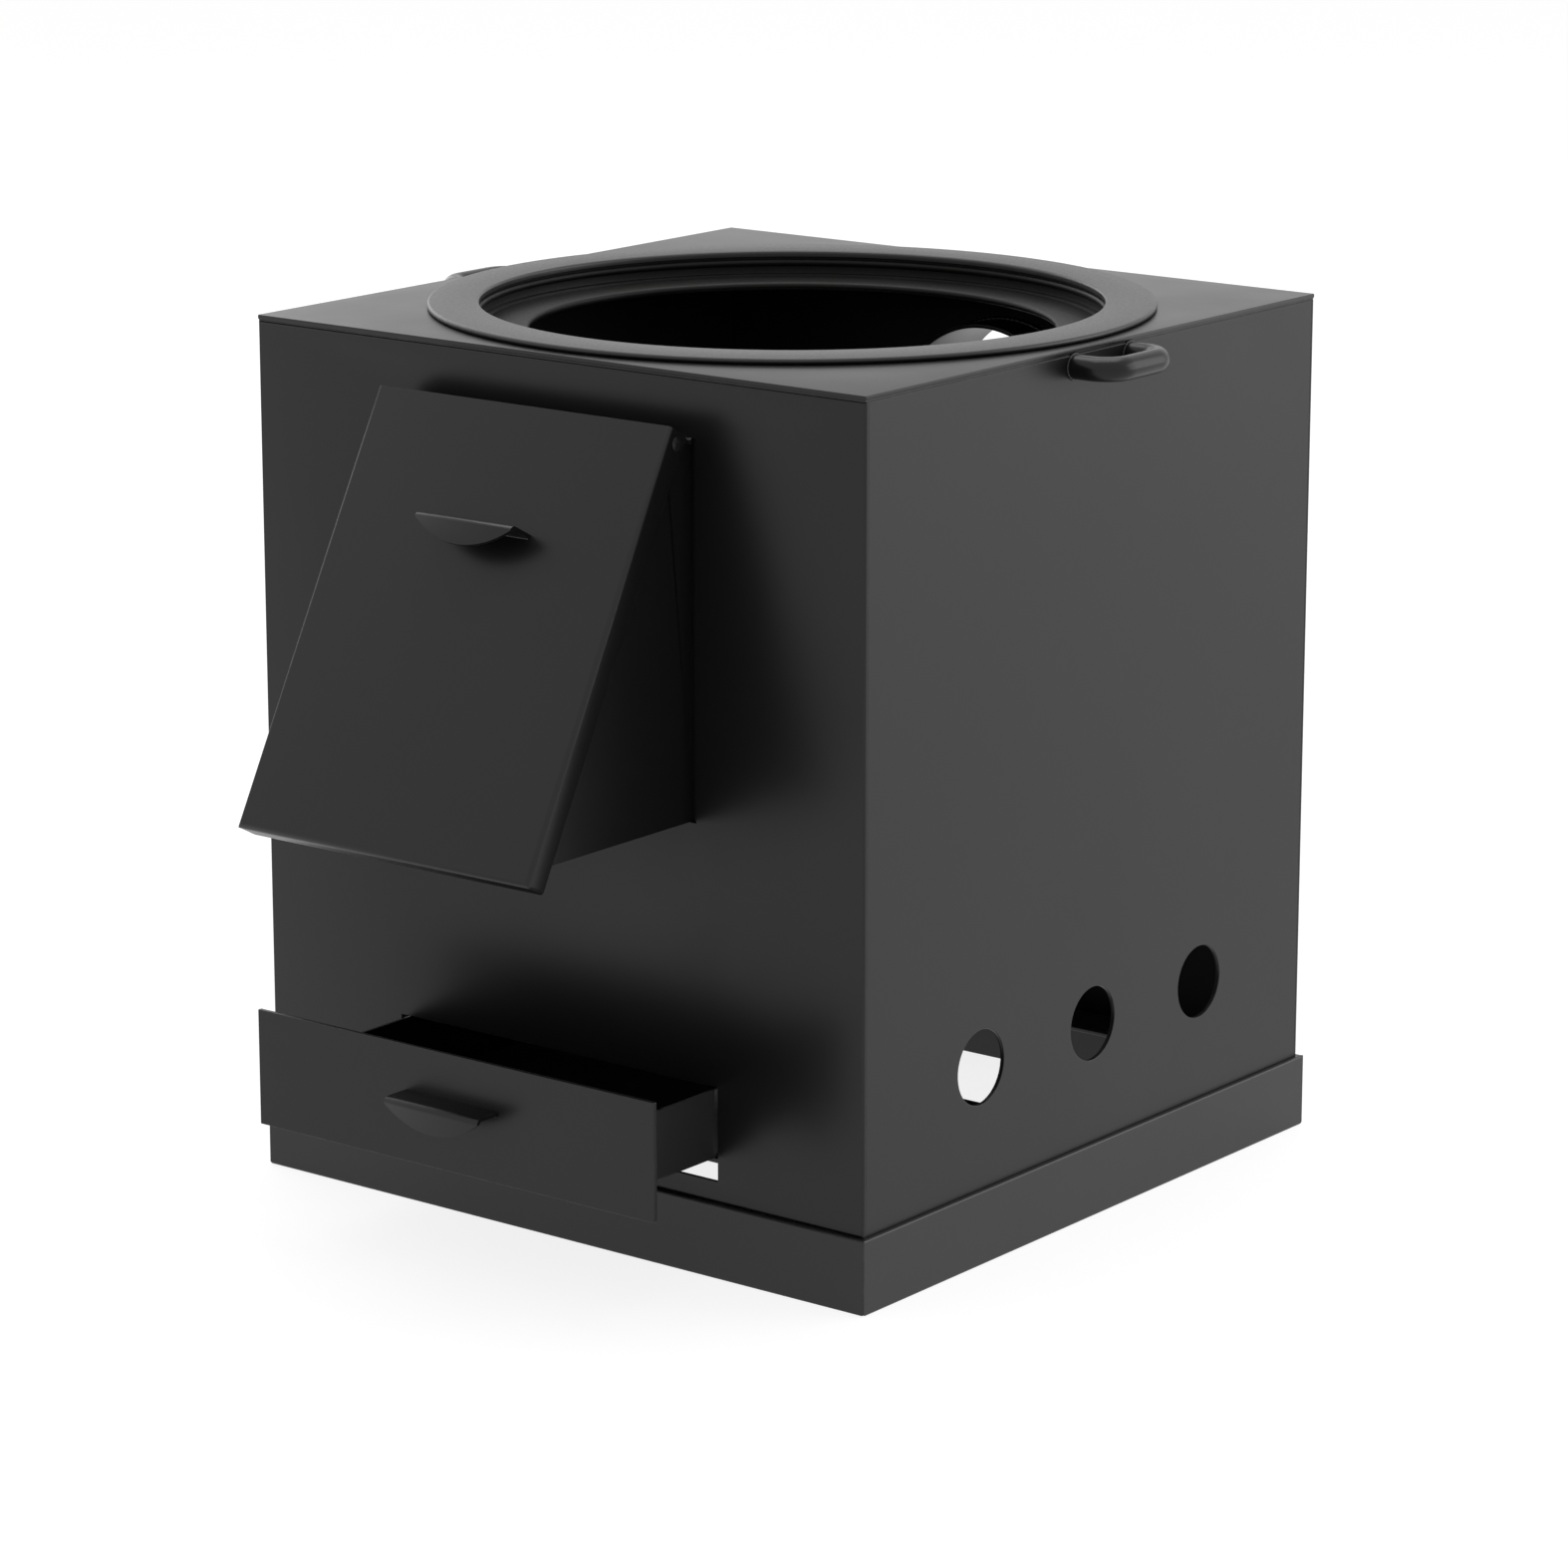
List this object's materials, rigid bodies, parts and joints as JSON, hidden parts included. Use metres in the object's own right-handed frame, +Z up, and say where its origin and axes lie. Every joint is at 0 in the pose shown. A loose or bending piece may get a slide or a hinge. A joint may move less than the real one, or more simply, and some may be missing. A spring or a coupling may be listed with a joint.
{
  "type": "outdoor cooking stove",
  "caption": "Square sheet-steel outdoor stove with a sloping fuel chute and flap, ash drawer, stepped pot ring and rear flue collar.",
  "frame": {"origin": "on the ground under the middle of the square fire box", "axes": "+X to the stove's right hand side seen from the front, +Y to the back, away from the chute, +Z up"},
  "size_m": [0.574, 0.7096, 0.5883],
  "materials": {
    "wall_paint": "matt",
    "top_paint": "matt",
    "foot_paint": "matt",
    "flue_paint": "matt",
    "ring_iron": "rough",
    "inner_paint": "matt",
    "chute_paint": "matt",
    "rod_steel": "satin",
    "door_paint": "matt",
    "drawer_paint": "matt",
    "tray_paint": "matt",
    "grate_iron": "rough",
    "handle_paint": "matt"
  },
  "bodies": {
    "stove": {"front_wall": "wall_paint", "back_wall": "wall_paint", "left_wall": "wall_paint", "right_wall": "wall_paint", "top_plate": "top_paint", "foot_front": "foot_paint", "foot_back": "foot_paint", "foot_left": "foot_paint", "foot_right": "foot_paint", "flue_collar": "flue_paint", "chute_frame": "inner_paint", "chute_cheek_left": "chute_paint", "chute_cheek_right": "chute_paint", "chute_floor": "chute_paint", "chute_roof": "chute_paint", "hinge_rod": "rod_steel", "hinge_washers": "rod_steel", "rail_left": "inner_paint", "rail_right": "inner_paint", "rail_cross": "inner_paint", "ledge_left": "inner_paint", "ledge_right": "inner_paint", "handle_left": "handle_paint", "handle_right": "handle_paint"},
    "door": {"chute_door": "door_paint", "door_pull": "door_paint"},
    "drawer": {"drawer_front": "drawer_paint", "drawer_tray": "tray_paint", "drawer_pull": "drawer_paint"},
    "pot_ring": {"pot_ring": "ring_iron"},
    "reducing_ring": {"reducing_ring": "ring_iron"},
    "grate_front": {"grate_front": "grate_iron"},
    "grate_back": {"grate_back": "grate_iron"}
  },
  "joints": [
    {"name": "door_hinge", "type": "hinge", "parent": "stove", "child": "door", "pos_m": [0, -0.27171, 0.54323], "axis": [-1, 0, 0], "range_deg": [0, 90]},
    {"name": "drawer_slide", "type": "slide", "parent": "stove", "child": "drawer", "axis": [0, -1, 0], "range_m": [-0.1002, 0.15]},
    {"name": "pot_ring_lift", "type": "slide", "parent": "stove", "child": "pot_ring", "axis": [0, 0, 1], "range_m": [0, 0.1]},
    {"name": "reducing_ring_lift", "type": "slide", "parent": "pot_ring", "child": "reducing_ring", "axis": [0, 0, 1], "range_m": [0, 0.1]},
    {"name": "grate_front_lift", "type": "slide", "parent": "stove", "child": "grate_front", "axis": [0, 0, 1], "range_m": [0, 0.1]},
    {"name": "grate_back_lift", "type": "slide", "parent": "stove", "child": "grate_back", "axis": [0, 0, 1], "range_m": [0, 0.1]}
  ]
}
